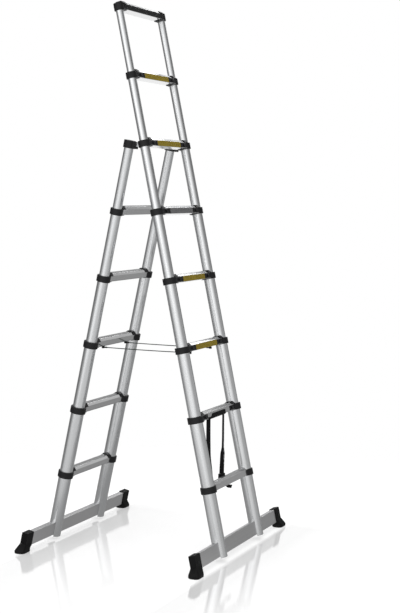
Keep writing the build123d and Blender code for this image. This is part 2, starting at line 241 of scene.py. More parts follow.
def turned(name, profile, around=28):
    """A turned shape on the Y axis from (distance, radius) pairs: no radius closes an end."""
    last = len(profile) - 1

    def place(u, v):
        distance, radius = profile[round(v * last)]
        turn = 2 * math.pi * u
        return Vector((radius * math.cos(turn), distance, radius * math.sin(turn)))

    shell = shaped_grid(name, around, last, place)
    close_shell(shell)
    return shell


def map_uv(piece, chart):
    """Lays out the UV map of a piece by a function of each corner's place."""
    layer = piece.data.uv_layers.active.data
    for loop in piece.data.loops:
        layer[loop.index].uv = chart(piece.data.vertices[loop.vertex_index].co)


def dress(piece, finish, slot, body, *stands_for):
    """Gives a piece its finish and body, and hides the nodes it stands for. The slot is not used."""
    piece.data.materials.clear()
    piece.data.materials.append(finish)
    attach(piece, body)
    if stands_for:
        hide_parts(*stands_for)


# %% [markdown]
# ## Building shaders in code
#
# Each finish is a Principled BSDF fed by a few textures on Object coordinates. A few short helpers add the
# nodes that come up most.

# %% Shader tools


def add_node(tree, kind, inputs=None, **settings):
    """Adds a shader node, then sets its inputs, or links them where a socket is given."""
    made = tree.nodes.new("ShaderNode" + kind)
    for key, value in settings.items():
        setattr(made, key, value)
    for socket, value in (inputs or {}).items():
        if isinstance(value, bpy.types.NodeSocket):
            tree.links.new(value, made.inputs[socket])
        else:
            made.inputs[socket].default_value = value
    return made


def new_group(name, inputs, outputs):
    """A node group with its sockets: returns the tree, its input sockets and its output sockets."""
    tree = bpy.data.node_groups.new(name, "ShaderNodeTree")
    for label, kind in inputs:
        tree.interface.new_socket(label, in_out="INPUT", socket_type="NodeSocket" + kind)
    for label, kind in outputs:
        tree.interface.new_socket(label, in_out="OUTPUT", socket_type="NodeSocket" + kind)
    return tree, tree.nodes.new("NodeGroupInput").outputs, tree.nodes.new("NodeGroupOutput").inputs


def use_group(tree, group, inputs):
    """Places a node group in a material."""
    return add_node(tree, "Group", inputs, node_tree=group).outputs


def new_finish(name, **shader_values):
    """A material with its Principled BSDF, whose constant values are set on its own sockets."""
    material = bpy.data.materials.new(name)
    material.use_nodes = True
    tree = material.node_tree
    shader = tree.nodes["Principled BSDF"]
    for socket, value in shader_values.items():
        shader.inputs[socket.replace("_", " ").title().replace("Ior", "IOR")].default_value = value
    return material, tree, shader


def lay_over(tree, share, under, over):
    """Lays one colour over another by a mask. Each is a socket or a colour with its alpha."""
    return add_node(tree, "Mix", {0: share, 6: under, 7: over}, data_type="RGBA").outputs[2]


def blend_colours(tree, share, dark, light):
    """Mixes two plain colours by a mask."""
    return lay_over(tree, share, (*dark, 1), (*light, 1))


def calculate(tree, operation, *values):
    """Output of a Math node."""
    return add_node(tree, "Math", dict(enumerate(values)), operation=operation).outputs[0]


def spread(tree, value, low, high):
    """Maps a mask from 0 to 1 onto a range."""
    return add_node(tree, "MapRange", {"Value": value, "To Min": low, "To Max": high}).outputs["Result"]


def bump(tree, shader, height, strength, depth):
    """Feeds a height to the shader's normal."""
    made = add_node(tree, "Bump", {"Height": height, "Strength": strength, "Distance": depth})
    tree.links.new(made.outputs["Normal"], shader.inputs["Normal"])


# %% [markdown]
# Three effects turn up on many finishes, so they are node groups: long drawn streaks, the fine grain of a
# moulded surface, and the faint smudges and scuffs of handling.

# %% Shared effects
drawn_streaks, read, put = new_group(
    "drawn_streaks", [("Vector", "Vector")], [("Height", "Float"), ("Tint", "Float")]
)
fine_lines = add_node(drawn_streaks, "TexNoise", {"Vector": read["Vector"], "Scale": 1.0, "Detail": 3.0})
wide_lines = add_node(drawn_streaks, "TexNoise", {"Vector": read["Vector"], "Scale": 0.22, "Detail": 2.0})
drawn_streaks.links.new(fine_lines.outputs["Fac"], put["Height"])
drawn_streaks.links.new(spread(drawn_streaks, wide_lines.outputs["Fac"], -0.6, 1.6), put["Tint"])

moulded_grain, read, put = new_group(
    "moulded_grain", [("Vector", "Vector"), ("Scale", "Float")], [("Height", "Float")]
)
pits = add_node(moulded_grain, "TexVoronoi", {"Vector": read["Vector"], "Scale": read["Scale"]})
moulded_grain.links.new(pits.outputs["Distance"], put["Height"])

handling_marks, read, put = new_group(
    "handling_marks", [("Vector", "Vector"), ("Scale", "Float")], [("Smudge", "Float"), ("Scuff", "Float")]
)
soft_marks = add_node(
    handling_marks, "TexNoise", {"Vector": read["Vector"], "Scale": read["Scale"], "Detail": 4.0}
)
thin_marks = add_node(
    handling_marks,
    "TexNoise",
    {"Vector": read["Vector"], "Scale": read["Scale"], "Detail": 8.0, "Distortion": 2.5},
)
rare = add_node(
    handling_marks, "MapRange", {"Value": thin_marks.outputs["Fac"], "From Min": 0.66, "From Max": 0.74}
)
handling_marks.links.new(spread(handling_marks, soft_marks.outputs["Fac"], -0.5, 1.5), put["Smudge"])
handling_marks.links.new(rare.outputs["Result"], put["Scuff"])
print("shared effects:", [group.name for group in bpy.data.node_groups])

# %% [markdown]
# ## Metal finishes
#
# The tubes are drawn and satin anodised: a nearly white metal whose fine lines run along the rails. A
# Mapping node of the Texture type turns the pattern first and scales it afterwards, so the streaks can be
# long and thin along a leaning tube. Rungs and bars have the same finish with their lines along X. On the
# bars, painted shade darkens the top millimetre with a mottled tone.

# %% Metal finishes
streak_width = 1.2 * MM
streak_length = 260 * MM
streak_strength = 0.02
streak_depth = 0.08 * MM
scuff_tone = 0.7
# Painted shade on the bars' top edge: its tone and the range of its mottled mask.
bar_shade_tone = 0.5
bar_shade_least = 0.35
bar_shade_most = 0.55


def drawn_aluminium(name, dark, light, roughness, turn, size, wear=0.05, shade_above=None):
    """Satin aluminium: turn aims its streaks, size is their grain, painted shade darkens what lies high."""
    material, tree, shader = new_finish(name, metallic=1.0)
    place = add_node(tree, "TexCoord").outputs["Object"]
    aimed = add_node(
        tree, "Mapping", {"Vector": place, "Rotation": turn, "Scale": size}, vector_type="TEXTURE"
    ).outputs["Vector"]
    streak = use_group(tree, drawn_streaks, {"Vector": aimed})
    marks = use_group(tree, handling_marks, {"Vector": place, "Scale": 9.0})
    colour = blend_colours(tree, streak["Tint"], dark, light)
    scuffed = (*(scuff_tone * part for part in dark), 1)
    worn_and_shaded = lay_over(tree, spread(tree, marks["Scuff"], 0.0, wear), colour, scuffed)
    # Painted shade: what lies above the given height gets a darker, mottled tone.
    if shade_above:
        level = add_node(tree, "SeparateXYZ", {"Vector": place}).outputs["Z"]
        high = calculate(tree, "GREATER_THAN", level, shade_above)
        painted_top_shade = calculate(tree, "MULTIPLY", high, spread(tree, marks["Smudge"], bar_shade_least, bar_shade_most))
        worn_and_shaded = lay_over(tree, painted_top_shade, worn_and_shaded, (*(bar_shade_tone * part for part in dark), 1))
    tree.links.new(worn_and_shaded, shader.inputs["Base Color"])
    rough = spread(tree, marks["Smudge"], roughness - 0.03, roughness + 0.05)
    tree.links.new(rough, shader.inputs["Roughness"])
    bump(tree, shader, streak["Height"], streak_strength, streak_depth)
    return material


along_rail = (streak_width, streak_width, streak_length)
along_rung = (streak_length, streak_width, streak_width)
front_tube_finish = drawn_aluminium(
    "satin_tube_front", (0.77, 0.78, 0.79), (0.81, 0.82, 0.83), 0.22, (-lean, 0, 0), along_rail
)
rear_tube_finish = drawn_aluminium(
    "satin_tube_rear", (0.77, 0.78, 0.79), (0.81, 0.82, 0.83), 0.22, (lean, 0, 0), along_rail
)
rung_finish = drawn_aluminium(
    "extruded_rung", (0.74, 0.745, 0.75), (0.78, 0.785, 0.79), 0.16, (0, 0, 0), along_rung
)
# The bars get painted shade on their top millimetre.
bar_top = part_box("front_bar")[1][2]
bar_finish = drawn_aluminium(
    "extruded_bar", (0.70, 0.70, 0.705), (0.73, 0.73, 0.735), 0.34, (0, 0, 0), along_rung,
    shade_above=bar_top - 1 * MM,
)
hinge_finish = drawn_aluminium(
    "cast_hinge", (0.58, 0.59, 0.60), (0.70, 0.71, 0.72), 0.40, (0, 0, 0), (3 * MM, 3 * MM, 3 * MM)
)


def plated_steel(name, dark, light):
    """Plated steel: a metal with a faint crystal pattern."""
    material, tree, shader = new_finish(name, metallic=1.0)
    place = add_node(tree, "TexCoord").outputs["Object"]
    crystals = add_node(tree, "TexVoronoi", {"Vector": place, "Scale": 600.0})
    tint = add_node(tree, "SeparateColor", {"Color": crystals.outputs["Color"]}).outputs["Red"]
    tree.links.new(blend_colours(tree, tint, dark, light), shader.inputs["Base Color"])
    tree.links.new(spread(tree, tint, 0.28, 0.42), shader.inputs["Roughness"])
    bump(tree, shader, crystals.outputs["Distance"], 0.08, 0.1 * MM)
    return material


zinc_finish = plated_steel("zinc_steel", (0.44, 0.45, 0.46), (0.60, 0.61, 0.63))
pin_finish = plated_steel("blackened_pin", (0.020, 0.020, 0.021), (0.045, 0.045, 0.047))
metals = (
    front_tube_finish, rear_tube_finish, rung_finish, bar_finish, hinge_finish, zinc_finish, pin_finish,
)
print("metals:", [finish.name for finish in metals])

# %% [markdown]
# ## Plastic and rubber
#
# The collars, caps and buttons are moulded black plastic with a fine spark-eroded grain. The feet are black
# rubber, duller and a little dusty near the floor. Both share one recipe with other numbers.

# %% Plastic finishes
grain_depth = 0.15 * MM
dust_share = 0.10
dust_colour = (0.10, 0.097, 0.093, 1)


def moulded(name, dark, light, roughness, gloss, grain, strength, dust_height=None):
    """A moulding with grain. Dust greys what lies below the given height above the floor."""
    material, tree, shader = new_finish(name, specular_ior_level=gloss)
    place = add_node(tree, "TexCoord").outputs["Object"]
    height = use_group(tree, moulded_grain, {"Vector": place, "Scale": grain})["Height"]
    marks = use_group(tree, handling_marks, {"Vector": place, "Scale": 24.0})
    colour = blend_colours(tree, marks["Smudge"], dark, light)
    if dust_height:
        level = add_node(tree, "SeparateXYZ", {"Vector": place}).outputs["Z"]
        low = add_node(
            tree, "MapRange", {"Value": level, "From Max": dust_height, "To Min": dust_share, "To Max": 0.0}
        ).outputs["Result"]
        dusty = calculate(tree, "MULTIPLY", low, marks["Smudge"])
        colour = lay_over(tree, dusty, colour, dust_colour)
    tree.links.new(colour, shader.inputs["Base Color"])
    rough = spread(tree, marks["Smudge"], roughness - 0.06, roughness + 0.08)
    tree.links.new(rough, shader.inputs["Roughness"])
    bump(tree, shader, height, strength, grain_depth)
    return material


collar_finish = moulded(
    "moulded_collar", (0.0045, 0.0045, 0.005), (0.010, 0.010, 0.011), 0.46, 0.30, 1400, 0.22
)
button_finish = moulded(
    "moulded_button", (0.004, 0.004, 0.0045), (0.008, 0.008, 0.009), 0.34, 0.32, 1800, 0.10
)
rubber_finish = moulded(
    "rubber_boot", (0.002, 0.002, 0.0022), (0.004, 0.004, 0.0043), 0.55, 0.16, 900, 0.30, 30 * MM
)
print("mouldings:", [collar_finish.name, button_finish.name, rubber_finish.name])

# %% [markdown]
# The grip strips of the climbing rungs are ribbed plastic. A painted shade darkens the grooves between the
# ribs, so the colour goes from a dark groove to a lighter crest, and each strip ends in a dark plate. The
# UV map of a strip runs in millimetres up it and from -1 to 1 along it, so the finish finds both without
# measuring.

# %% Grip strip finishes
strip_ribs = 5
strip_height = 23.6 * MM
strip_tongue = 19 * MM
strip_gap = 0.05 * MM
strip_edge = 0.5 * MM
strip_rise = 0.7 * MM
strip_slack = 3 * MM
strip_end_share = 0.925
strip_end_colour = (0.008, 0.008, 0.009, 1)
rib_pitch = strip_height / strip_ribs


def ribbed_strip(name, shaded_groove, rib, roughness):
    """Ribbed strip with painted shade in its grooves and dark ends."""
    material, tree, shader = new_finish(name, roughness=roughness, specular_ior_level=0.25)
    coordinates = add_node(tree, "TexCoord").outputs
    chart = add_node(tree, "SeparateXYZ", {"Vector": coordinates["UV"]}).outputs
    half_rib = rib_pitch / MM / 2
    # Painted shade: darkest in the grooves between the ribs and lightest on their crests.
    upward = calculate(tree, "PINGPONG", chart["X"], half_rib)
    crest = add_node(tree, "MapRange", {"Value": upward, "From Max": half_rib}).outputs["Result"]
    marks = use_group(tree, handling_marks, {"Vector": coordinates["Object"], "Scale": 30.0})
    grain = use_group(tree, moulded_grain, {"Vector": coordinates["Object"], "Scale": 1100.0})
    shade = calculate(tree, "MULTIPLY", crest, spread(tree, marks["Smudge"], 0.75, 1.1))
    along = calculate(tree, "ABSOLUTE", chart["Y"])
    at_end = calculate(tree, "GREATER_THAN", along, strip_end_share)
    colour = lay_over(tree, at_end, blend_colours(tree, shade, shaded_groove, rib), strip_end_colour)
    tree.links.new(colour, shader.inputs["Base Color"])
    bump(tree, shader, grain["Height"], 0.2, 0.1 * MM)
    return material


# Each strip's first colour is the painted shade of its grooves.
yellow_finish = ribbed_strip("yellow_grip", (0.135, 0.095, 0.006), (0.350, 0.260, 0.014), 0.5)
grey_finish = ribbed_strip("grey_grip", (0.085, 0.085, 0.088), (0.190, 0.190, 0.195), 0.5)
black_finish = ribbed_strip("black_grip", (0.003, 0.003, 0.0035), (0.012, 0.012, 0.013), 0.5)
print("strips:", [yellow_finish.name, grey_finish.name, black_finish.name])

# %% [markdown]
# ## Cable and webbing finishes
#
# The spreader cables are wire rope in a thin black coat with a green cast. The storage strap is woven black
# webbing: its UV map runs in millimetres, so two crossed waves give threads of a real size, and painted
# glints show as pale dashes along one edge.

# %% Soft finishes
warp_pitch_mm = 1.7
weft_pitch_mm = 1.3
wave_unit = math.pi / 10
strap_width = 25 * MM
# Painted highlight: pale dashes stand in for glints on one stretch of one edge.
glint_start_mm = 470.0
glint_end_mm = 650.0
glint_width_mm = 5
glint_gaps = 0.52
glint_colour = (0.34, 0.34, 0.36, 1)


def coated_rope(name):
    """Coated wire rope: dark with a green cast, rubbed a little lighter on the strands."""
    material, tree, shader = new_finish(name, specular_ior_level=0.35)
    place = add_node(tree, "TexCoord").outputs["Object"]
    marks = use_group(tree, handling_marks, {"Vector": place, "Scale": 60.0})
    tree.links.new(
        blend_colours(tree, marks["Smudge"], (0.006, 0.013, 0.011), (0.018, 0.034, 0.028)),
        shader.inputs["Base Color"],
    )
    tree.links.new(spread(tree, marks["Smudge"], 0.32, 0.5), shader.inputs["Roughness"])
    return material


def woven_webbing(name, with_glints):
    """Webbing with crossed threads. Painted glints show as dashes on one stretch of one edge."""
    material, tree, shader = new_finish(name, roughness=0.75, specular_ior_level=0.2)
    chart = add_node(tree, "TexCoord").outputs["UV"]
    warp = add_node(
        tree, "TexWave", {"Vector": chart, "Scale": wave_unit / warp_pitch_mm}, bands_direction="X"
    )
    weft = add_node(
        tree, "TexWave", {"Vector": chart, "Scale": wave_unit / weft_pitch_mm}, bands_direction="Y"
    )
    weave = calculate(tree, "MULTIPLY", warp.outputs["Fac"], weft.outputs["Fac"])
    colour = blend_colours(tree, weave, (0.0025, 0.0025, 0.003), (0.012, 0.012, 0.013))
    # Painted highlight: glints as pale dashes along one edge, between two distances.
    if with_glints:
        run = add_node(tree, "SeparateXYZ", {"Vector": chart}).outputs
        mask = calculate(tree, "GREATER_THAN", run["X"], strap_width / MM - glint_width_mm)
        dashes = add_node(tree, "TexNoise", {"Vector": chart, "Scale": 0.09, "Detail": 1.0}).outputs["Fac"]
        for part in (
            calculate(tree, "GREATER_THAN", run["Y"], glint_start_mm),
            calculate(tree, "LESS_THAN", run["Y"], glint_end_mm),
            calculate(tree, "GREATER_THAN", dashes, glint_gaps),
        ):
            mask = calculate(tree, "MULTIPLY", mask, part)
        colour = lay_over(tree, mask, colour, glint_colour)
    tree.links.new(colour, shader.inputs["Base Color"])
    bump(tree, shader, weave, 0.5, 0.4 * MM)
    return material


rope_finish = coated_rope("coated_rope")
band_finish = woven_webbing("woven_band", False)
# The strap loop carries the painted glints.
strap_finish = woven_webbing("woven_strap", True)
print("soft finishes:", [rope_finish.name, band_finish.name, strap_finish.name])

# %% [markdown]
# ## Finishes for the engineering model
#
# Every node of the frame gets one of these finishes. The record names a slot for each node, so a small
# table from slot to finish is enough, apart from the tubes, whose streaks follow the lean of their own
# section, and a few small steel pieces that are blackened: the hinge pins, the cable eyes and the front
# rivets.

# %% Finish every node
slot_finish = {
    "rung_aluminium": rung_finish,
    "bar_aluminium": bar_finish,
    "black_plastic": collar_finish,
    "button_plastic": button_finish,
    "black_rubber": rubber_finish,
    "hinge_metal": hinge_finish,
    "zinc_steel": zinc_finish,
    "coated_cable": rope_finish,
    "webbing": band_finish,
}
blackened = ("hinge_pins", "front_cable_eyes", "rear_cable_eyes", "front_rivets")
for part in frame["record"]["subparts"]:
    node = frame["nodes"][part["node"]]
    if part["material_slot"] == "satin_aluminium":
        finish = front_tube_finish if part["node"].startswith("front") else rear_tube_finish
    elif part["node"] in blackened:
        finish = pin_finish
    else:
        finish = slot_finish[part["material_slot"]]
    node.data.materials.clear()
    node.data.materials.append(finish)

# %% [markdown]
# ## Smooth routes
#
# A rope or a strap follows a smooth line. We give a NURBS spline a few control points, let Blender
# work out its line, and read that line back. Rope and webbing are then grids whose rows follow the line.

# %% Routes


def smooth_route(controls):
    """Points along the NURBS spline that has the given control points."""
    curve = bpy.data.curves.new("route", "CURVE")
    curve.dimensions = "3D"
    curve.resolution_u = 32
    spline = curve.splines.new("NURBS")
    spline.points.add(len(controls) - 1)
    for control, place in zip(spline.points, controls):
        control.co = (*place, 1)
    spline.order_u = 3
    spline.use_endpoint_u = True
    carrier = bpy.data.objects.new("route", curve)
    bpy.context.collection.objects.link(carrier)
    mesh = bpy.data.meshes.new_from_object(carrier)
    line = [vertex.co.copy() for vertex in mesh.vertices]
    bpy.data.objects.remove(carrier)
    bpy.data.curves.remove(curve)
    bpy.data.meshes.remove(mesh)
    return line


def run_along(line):
    """Distance from the start at each point of a line."""
    run = [0.0]
    for start, end in zip(line, line[1:]):
        run.append(run[-1] + (end - start).length)
    return run


def point_at(line, run, share):
    """Point and direction of a line at a share of its length."""
    goal = share * run[-1]
    step = max(1, min(bisect.bisect_left(run, goal), len(line) - 1))
    start, end = line[step - 1], line[step]
    part = (goal - run[step - 1]) / (run[step] - run[step - 1])
    return start.lerp(end, part), (end - start).normalized()


# %% [markdown]
# ## The spreader cables
#
# Two cables keep the sections from sliding apart. Each is a 4 mm wire rope with six strands that show
# through the coat, stretched between an eye under a climbing rung and one under a rear rung, with hardly
# any sag. A crimped ferrule holds each end. The rope here moves with the climbing section, though the real
# one goes slack when the ladder folds and gathers at its front eye.

# %% Spreader cables
cable_offset = 103 * MM
cable_end = 203.06 * MM
cable_level = 834.8 * MM
cable_radius = 2 * MM
cable_sag = 1.5 * MM
rope_strands = 6
strand_cells = 6
rope_lay = 28 * MM
rope_valley = 0.16
rope_step = 1.4 * MM
ferrule_length = 15 * MM
ferrule_radius = 3.4 * MM


def wire_rope(name, line):
    """A rope whose strands wind round the line."""
    run = run_along(line)
    side = Vector((1, 0, 0))

    def place(u, v):
        centre, ahead = point_at(line, run, v)
        lift = side.cross(ahead)
        turn = 2 * math.pi * u
        wind = turn - 2 * math.pi * v * run[-1] / rope_lay
        swell = 1 - rope_valley * (1 - abs(math.cos(rope_strands / 2 * wind)))
        return centre + cable_radius * swell * (math.cos(turn) * side + math.sin(turn) * lift)

    rope = shaped_grid(name, strand_cells * rope_strands, round(run[-1] / rope_step), place)
    close_shell(rope)
    return rope


ferrule_profile = [(0, 0), (0, 0.8), (0.03, 0.94), (0.08, 1.0), (0.20, 1.0), (0.24, 0.84), (0.34, 0.84),
                   (0.38, 1.0), (0.54, 1.0), (0.58, 0.84), (0.68, 0.84), (0.72, 1.0), (0.90, 1.0),
                   (0.97, 0.92), (1.0, 0.8), (1.0, 0)]
ferrule_profile = [(share * ferrule_length, part * ferrule_radius) for share, part in ferrule_profile]

for side_name, x in (("left", -cable_offset), ("right", cable_offset)):
    start = Vector((x, -cable_end, cable_level))
    end = Vector((x, cable_end, cable_level))
    sag = Vector((0, 0, -cable_sag))
    line = smooth_route([start, start.lerp(end, 0.25) + sag, start.lerp(end, 0.75) + sag, end])
    rope = wire_rope(f"spreader_rope_{side_name}", line)
    settle(rope, sharp=60)
    dress(rope, rope_finish, "coated_cable", "front_stage_6", "spreader_cables")
    run_along(line)[-1]
    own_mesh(rope)
    for end_name, mouth, toward, body in (
        ("front", start, 1, "front_stage_6"), ("rear", end, -1, "rear_stage_4")
    ):
        ferrule = turned(f"rope_ferrule_{end_name}_{side_name}", ferrule_profile)
        place = Matrix.Translation(mouth) @ Matrix.Rotation(0 if toward > 0 else math.pi, 4, "Z")
        settle(ferrule, place)
        dress(ferrule, pin_finish, "zinc_steel", body, "spreader_cables")
print("cables:", round(run_along(line)[-1], 4), "m each")

# %% [markdown]
# ## The storage strap
#
# A webbing strap with a buckle hangs from the seventh rung and goes round the ladder when it is put away.
# A band of the same webbing is wrapped under the rung and a little way up its outer face. The strap's two
# legs hang plumb from the band, twist a little, and join in a loose bend behind the lowest rung.

# %% Band on the rung
strap_rung = 7
rung_depth = 40 * MM
rung_face = 24.5 * MM
band_left = -106 * MM
band_right = 60 * MM
band_wall = 3 * MM
band_gap = 0.3 * MM
band_low_lap = 4 * MM
band_high_lap = 15 * MM
band_under = 28 * MM
band_bend = 4 * MM
lap_starts = -75 * MM
lap_ends = -57 * MM
band_cells = (36, 60)
band_round = 0.9 * MM
crease = math.radians(50)
strap_plane = front_plane @ Matrix.Translation((0, 0, front_level(strap_rung)))


def band_place(u, v):
    """Corner of the band: u goes round the rung's lower edge and v along the rung."""
    x = band_left + (band_right - band_left) * v
    rise = max(0.0, min(1.0, (x - lap_starts) / (lap_ends - lap_starts)))
    lap = band_low_lap + (band_high_lap - band_low_lap) * rise * rise * (3 - 2 * rise)
    offset = band_gap + band_wall / 2
    low = -rung_face / 2 - offset
    face = -rung_depth / 2 - offset
    corner = math.pi / 2 * band_bend
    distance = u * (band_under + corner + lap)
    if distance < band_under:
        return Vector((x, face + band_bend + band_under - distance, low))
    if distance < band_under + corner:
        turn = (distance - band_under) / band_bend
        inward, upward = band_bend * math.sin(turn), band_bend * math.cos(turn)
        return Vector((x, face + band_bend - inward, low + band_bend - upward))
    return Vector((x, face, low + band_bend + distance - band_under - corner))


band = shaped_grid("strap_band", *band_cells, band_place)
map_uv(band, lambda corner: ((corner.z - corner.y) / MM, corner.x / MM))
apply_modifier(band, "SOLIDIFY", thickness=band_wall, offset=0)
apply_modifier(band, "BEVEL", width=band_round, segments=2, limit_method="ANGLE", angle_limit=crease)
settle(band, strap_plane)
dress(band, band_finish, "webbing", "front_base", "storage_strap")
print("band:", len(band.data.polygons), "faces")

# %% Strap loop
strap_thickness = 1.8 * MM
strap_left = -72 * MM
strap_right = 70 * MM
strap_cells = 8
loop_cells = 180
tail_cells = 30
tail_width = strap_width * 0.6
hang_local = Vector((0, 0, -rung_face / 2 - band_gap - band_wall / 2))
hang = strap_plane @ hang_local


def turned_x(degrees):
    """Level direction that is turned from X by an angle."""
    return Vector((math.cos(math.radians(degrees)), math.sin(math.radians(degrees)), 0))


def ribbon(name, controls, width, facings, steps):
    """Webbing along a smooth route. Facings are shares of its length, each with the direction across it."""
    line = smooth_route([hang + Vector(control) for control in controls])
    run = run_along(line)

    def place(u, v):
        centre, ahead = point_at(line, run, v)
        for (low, start), (high, end) in zip(facings, facings[1:]):
            if v <= high:
                break
        part = max(0.0, min(1.0, (v - low) / (high - low)))
        across = start.lerp(end, part * part * (3 - 2 * part))
        across = (across - across.dot(ahead) * ahead).normalized()
        return centre + (u - 0.5) * width * across

    webbing = shaped_grid(name, strap_cells, steps, place)
    layer = webbing.data.uv_layers.active.data
    for loop in webbing.data.loops:
        chart = layer[loop.index].uv
        layer[loop.index].uv = (chart[0] * width / MM, chart[1] * run[-1] / MM)
    apply_modifier(webbing, "SOLIDIFY", thickness=strap_thickness, offset=0)
    return webbing, run[-1]


loop_route = [
    (strap_left, 0, 0), (strap_left - 1 * MM, 0, -110 * MM), (strap_left + 8 * MM, 0, -205 * MM),
    (strap_left + 26 * MM, 0, -275 * MM), (-20 * MM, 0, -302 * MM), (25 * MM, 0, -304 * MM),
    (strap_right - 3 * MM, 0, -296 * MM), (strap_right, 0, -240 * MM), (strap_right, -5 * MM, -130 * MM),
    (strap_right, -5 * MM, -60 * MM), (strap_right - 2 * MM, -6 * MM, 0),
]
loop_facings = [
    (0.0, turned_x(-16)), (0.22, turned_x(-20)), (0.42, turned_x(-90)), (0.54, turned_x(-90)),
    (0.63, turned_x(-26)), (0.74, turned_x(-22)), (0.80, turned_x(5)), (1.0, turned_x(7)),
]
loop, loop_length = ribbon("strap_loop", loop_route, strap_width, loop_facings, loop_cells)
settle(loop)
dress(loop, strap_finish, "webbing", "front_base", "storage_strap")
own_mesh(loop)

tail_route = [
    (strap_right + 1 * MM, -3 * MM, -272 * MM), (strap_right + 3 * MM, -8 * MM, -294 * MM),
    (strap_right + 10 * MM, -22 * MM, -312 * MM), (strap_right + 22 * MM, -30 * MM, -316 * MM),
    (strap_right + 40 * MM, -30 * MM, -320 * MM),
]
tail_facings = [(0.0, turned_x(-24)), (0.35, turned_x(-20)), (1.0, Vector((0.35, -0.25, 0.9)))]
tail, tail_length = ribbon("strap_tail", tail_route, tail_width, tail_facings, tail_cells)
settle(tail)
dress(tail, band_finish, "webbing", "front_base", "storage_strap")
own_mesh(tail)
print("strap loop", round(loop_length, 3), "m and tail", round(tail_length, 3), "m")

# %% [markdown]
# The buckle is a frame with two slots. It starts as a flat grid of cells: the cells of the slots are picked
# and deleted, and the rest is given its thickness and rounded edges.

# %% Buckle
buckle_width = 36 * MM
buckle_height = 27 * MM
buckle_depth = 7 * MM
buckle_round = 1.3 * MM
buckle_cells = 10
buckle_below = 272 * MM
buckle_tilt = math.radians(-24)
slot_half_width = 0.36 * buckle_width
slot_near = 0.10 * buckle_height
slot_far = 0.34 * buckle_height


def in_slot(face):
    """Whether a cell of the buckle lies in one of its two slots."""
    centre = face.calc_center_median()
    return abs(centre.x) < slot_half_width and slot_near < abs(centre.y) < slot_far


buckle = add_primitive(
    "grid", "strap_buckle", x_subdivisions=buckle_cells, y_subdivisions=buckle_cells, size=1
)
for corner in buckle.data.vertices:
    corner.co = Vector((corner.co.x * buckle_width, corner.co.y * buckle_height, 0))
holes = pick_faces(buckle, in_slot)
bpy.ops.mesh.delete(type="FACE")
bpy.ops.object.mode_set(mode="OBJECT")
apply_modifier(buckle, "SOLIDIFY", thickness=buckle_depth, offset=0)
apply_modifier(buckle, "BEVEL", width=buckle_round, segments=3, limit_method="ANGLE", angle_limit=crease)
buckle_turn = Matrix.Rotation(buckle_tilt, 4, "Z") @ Matrix.Rotation(math.radians(90), 4, "X")
buckle_spot = hang + Vector((strap_right, 0, -buckle_below))
settle(buckle, Matrix.Translation(buckle_spot) @ buckle_turn)
dress(buckle, button_finish, "black_plastic", "front_base", "storage_strap")
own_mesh(buckle)
print("buckle:", holes, "cells cut out,", len(buckle.data.polygons), "faces")

# %% [markdown]
# ## Grip strips
#
# The five climbing rungs below the top one carry a ribbed strip on their outer face: four are yellow and
# the one in the middle is grey. The top rung has a black one over almost its whole length. Each strip has a
# tongue in the shallow channel of its rung, and its edges lie over the channel's sides. One closed outline
# with rounded ribs is drawn along the rung.

# %% Grip strips
half_spacing = 195 * MM
channel_depth = 1 * MM
collar_wall = 5.5 * MM
plate_length = 46 * MM
top_radius = 16 * MM
radius_step = 2 * MM
rib_corners = 4
top_grip_gap = 12 * MM
grey_rung = 4


def strip_outline():
    """Outline of a strip: tongue in the channel, edges over the channel's sides, and ribs outside."""
    back = -rung_depth / 2 + channel_depth
    seat = -rung_depth / 2 - strip_gap
    front = seat - strip_edge
    points = [(back, -strip_tongue / 2), (seat, -strip_tongue / 2), (seat, -strip_height / 2)]
    for rib in range(strip_ribs):
        low = -strip_height / 2 + rib * rib_pitch
        for corner in range(rib_corners + 1):
            turn = math.pi * corner / rib_corners
            points.append((front - strip_rise * math.sin(turn), low + rib_pitch * (1 - math.cos(turn)) / 2))
    points += [(seat, strip_height / 2), (seat, strip_tongue / 2), (back, strip_tongue / 2)]
    return points


def grip_strip(name, rung, half_length, finish, body):
    """A strip on the outer face of a front rung."""
    strip = rolled_bar(name, strip_outline(), -half_length, half_length)
    map_uv(strip, lambda corner: ((corner.z + strip_height / 2) / MM, corner.x / half_length))
    settle(strip, front_plane @ Matrix.Translation((0, 0, front_level(rung))), sharp=50)
    dress(strip, finish, "rung_aluminium", body)


grip_strip("top_grip", 1, half_spacing - top_grip_gap, black_finish, "front_stage_1")
for rung in range(2, 7):
    radius = top_radius + radius_step * (rung - 1)
    free = half_spacing - radius - collar_wall - plate_length - strip_slack
    finish = grey_finish if rung == grey_rung else yellow_finish
    grip_strip(f"grip_{rung}", rung, free, finish, f"front_stage_{rung}")
    print("strip on rung", rung, "half length", round(free / MM, 1), "mm")

# %% [markdown]
# ## The studio
#
# The picture has a white sweep and broad soft light. A tube shows the whole room squeezed into its width: a
# bright soft box to the left of where the picture was taken, a slow fall to the right, and a dark flank on
# either side. So the world is painted as grey tones over the bearing of a direction. The bearing is counted
# from the room's open side, left of it negative, and the room stays put when the view changes.

# %% Sky tones
sky_gain = 1.7
middle_gain = 1.28
bearings = (-180, -150, -115, -95, -80, -62, -45, -25, 0, 25, 45, 62, 80, 97, 115, 150, 180)
upper_tones = (
    0.15, 0.15, 0.15, 0.20, 0.38, 0.82, 1.18, 1.30, 1.05, 0.76, 0.48, 0.31, 0.19, 0.12, 0.10, 0.12, 0.15,
)
sweep_tones = (
    0.20, 0.20, 0.18, 0.22, 0.38, 0.74, 1.04, 1.15, 1.00, 0.78, 0.56, 0.46, 0.41, 0.36, 0.32, 0.33, 0.33,
)
lower_tones = (
    0.20, 0.20, 0.18, 0.20, 0.28, 0.48, 0.70, 0.84, 0.74, 0.60, 0.49, 0.44, 0.42, 0.38, 0.34, 0.33, 0.33,
)
middle_tones = [middle_gain * tone for tone in upper_tones]


def grey(tone):
    """A tone of the sky as a colour."""
    return (tone / sky_gain,) * 3 + (1,)


